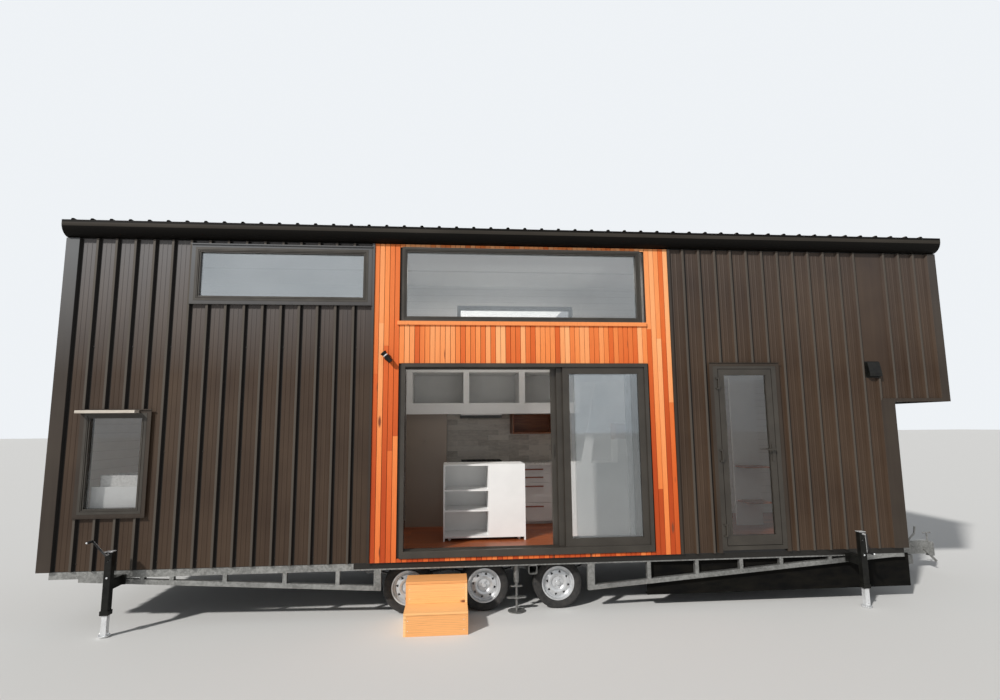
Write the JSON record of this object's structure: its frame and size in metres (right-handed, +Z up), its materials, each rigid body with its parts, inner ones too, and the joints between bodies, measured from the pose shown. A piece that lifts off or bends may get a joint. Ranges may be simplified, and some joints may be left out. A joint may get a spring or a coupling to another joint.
{
  "type": "tiny house on wheels",
  "caption": "Tiny house on a trailer: ribbed metal walls, timber centre bay, stacking glass door, entry door, end overhang, braked axles, corner jacks and a step box.",
  "frame": {"origin": "on the ground, under the middle of the whole part's outer box", "axes": "+X along the house towards the coupling, +Y from the front with the doors to the back, +Z up"},
  "size_m": [10.472, 3.2962, 4.2462],
  "materials": {
    "galvanised_steel": "dull galvanised",
    "tyre_and_rim": "matt",
    "jack_steel": "zinc plated",
    "black_steel": "satin",
    "black_plastic": "matt",
    "brown_steel": "satin",
    "cedar": "oiled",
    "pine": "raw",
    "dark_aluminium": "satin",
    "glass": "clear",
    "floor_boards": "satin",
    "bench_top": "satin",
    "white_lining": "painted"
  },
  "bodies": {
    "house": {"axle_beams": "galvanised_steel", "coupling_head": "galvanised_steel", "cross_members": "galvanised_steel", "door_lintels": "white_lining", "drawbar": "galvanised_steel", "end_cladding": "brown_steel", "entry_frame": "dark_aluminium", "flashings": "brown_steel", "floor_panels": "floor_boards", "front_cladding": "brown_steel", "front_truss": "galvanised_steel", "front_wall_between_doors": "white_lining", "front_wall_left": "white_lining", "front_wall_right": "white_lining", "gutter": "brown_steel", "island_trolley": "white_lining", "jack_tubes": "black_steel", "kitchen_cabinets": "white_lining", "leaf_springs": "galvanised_steel", "left_end_wall": "white_lining", "overhead_cabinet": "white_lining", "prop_stands": "galvanised_steel", "rear_cladding": "brown_steel", "rear_truss": "galvanised_steel", "rear_wall": "white_lining", "right_end_walls": "white_lining", "roof_deck": "white_lining", "roof_sheet": "brown_steel", "slider_fixed_glass": "glass", "slider_frame": "dark_aluminium", "stair_wall": "white_lining", "step_box": "pine", "timber_panel": "cedar", "underfloor_tray": "black_plastic", "vent_cowl": "brown_steel", "wall_lamp": "black_steel", "window_frames": "dark_aluminium", "window_glass": "glass", "window_hood": "dark_aluminium", "worktop": "bench_top"},
    "slider_middle": {"slider_middle_panel": "dark_aluminium", "slider_middle_glass": "glass"},
    "slider_lead": {"slider_lead_panel": "dark_aluminium", "slider_lead_glass": "glass"},
    "entry_leaf": {"entry_door": "dark_aluminium", "entry_door_glass": "glass"},
    "jack_crank_front_left": {"jack_crank_front_left": "jack_steel"},
    "jack_crank_front_right": {"jack_crank_front_right": "jack_steel"},
    "jack_crank_rear_left": {"jack_crank_rear_left": "jack_steel"},
    "jack_crank_rear_right": {"jack_crank_rear_right": "jack_steel"},
    "jack_leg_front_left": {"jack_leg_front_left": "jack_steel"},
    "jack_leg_front_right": {"jack_leg_front_right": "jack_steel"},
    "jack_leg_rear_left": {"jack_leg_rear_left": "jack_steel"},
    "jack_leg_rear_right": {"jack_leg_rear_right": "jack_steel"},
    "wheel_front_1": {"wheel_front_1": "tyre_and_rim"},
    "wheel_front_2": {"wheel_front_2": "tyre_and_rim"},
    "wheel_front_3": {"wheel_front_3": "tyre_and_rim"},
    "wheel_rear_1": {"wheel_rear_1": "tyre_and_rim"},
    "wheel_rear_2": {"wheel_rear_2": "tyre_and_rim"},
    "wheel_rear_3": {"wheel_rear_3": "tyre_and_rim"}
  },
  "joints": [
    {"name": "slider_lead_slide", "type": "slide", "parent": "house", "child": "slider_lead", "axis": [-1, 0, 0], "range_m": [0, 1.584]},
    {"name": "slider_middle_slide", "type": "slide", "parent": "house", "child": "slider_middle", "axis": [-1, 0, 0], "range_m": [0, 0.79]},
    {"name": "entry_door_hinge", "type": "hinge", "parent": "house", "child": "entry_leaf", "pos_m": [1.778, -1.16615, 1.56], "axis": [0, 0, -1], "range_deg": [0, 95]},
    {"name": "wheel_front_1_spin", "type": "hinge", "parent": "house", "child": "wheel_front_1", "pos_m": [-1.654, -0.90015, 0.262], "axis": [0, 1, 0], "continuous": true},
    {"name": "wheel_front_2_spin", "type": "hinge", "parent": "house", "child": "wheel_front_2", "pos_m": [-0.857, -0.90015, 0.262], "axis": [0, 1, 0], "continuous": true},
    {"name": "wheel_front_3_spin", "type": "hinge", "parent": "house", "child": "wheel_front_3", "pos_m": [-0.06, -0.90015, 0.262], "axis": [0, 1, 0], "continuous": true},
    {"name": "wheel_rear_1_spin", "type": "hinge", "parent": "house", "child": "wheel_rear_1", "pos_m": [-1.654, 1.04985, 0.262], "axis": [0, 1, 0], "continuous": true},
    {"name": "wheel_rear_2_spin", "type": "hinge", "parent": "house", "child": "wheel_rear_2", "pos_m": [-0.857, 1.04985, 0.262], "axis": [0, 1, 0], "continuous": true},
    {"name": "wheel_rear_3_spin", "type": "hinge", "parent": "house", "child": "wheel_rear_3", "pos_m": [-0.06, 1.04985, 0.262], "axis": [0, 1, 0], "continuous": true},
    {"name": "jack_leg_front_left_lift", "type": "slide", "parent": "house", "child": "jack_leg_front_left", "axis": [0, 0, 1], "range_m": [0, 0.12]},
    {"name": "jack_crank_front_left_turn", "type": "hinge", "parent": "house", "child": "jack_crank_front_left", "pos_m": [-4.471, -1.35515, 0.76], "axis": [0, 1, 0], "continuous": true},
    {"name": "jack_leg_front_right_lift", "type": "slide", "parent": "house", "child": "jack_leg_front_right", "axis": [0, 0, 1], "range_m": [0, 0.12]},
    {"name": "jack_crank_front_right_turn", "type": "hinge", "parent": "house", "child": "jack_crank_front_right", "pos_m": [3.196, -1.35515, 0.76], "axis": [0, 1, 0], "continuous": true},
    {"name": "jack_leg_rear_left_lift", "type": "slide", "parent": "house", "child": "jack_leg_rear_left", "axis": [0, 0, 1], "range_m": [0, 0.12]},
    {"name": "jack_crank_rear_left_turn", "type": "hinge", "parent": "house", "child": "jack_crank_rear_left", "pos_m": [-4.471, 1.50485, 0.76], "axis": [0, 1, 0], "continuous": true},
    {"name": "jack_leg_rear_right_lift", "type": "slide", "parent": "house", "child": "jack_leg_rear_right", "axis": [0, 0, 1], "range_m": [0, 0.12]},
    {"name": "jack_crank_rear_right_turn", "type": "hinge", "parent": "house", "child": "jack_crank_rear_right", "pos_m": [3.196, 1.50485, 0.76], "axis": [0, 1, 0], "continuous": true}
  ]
}
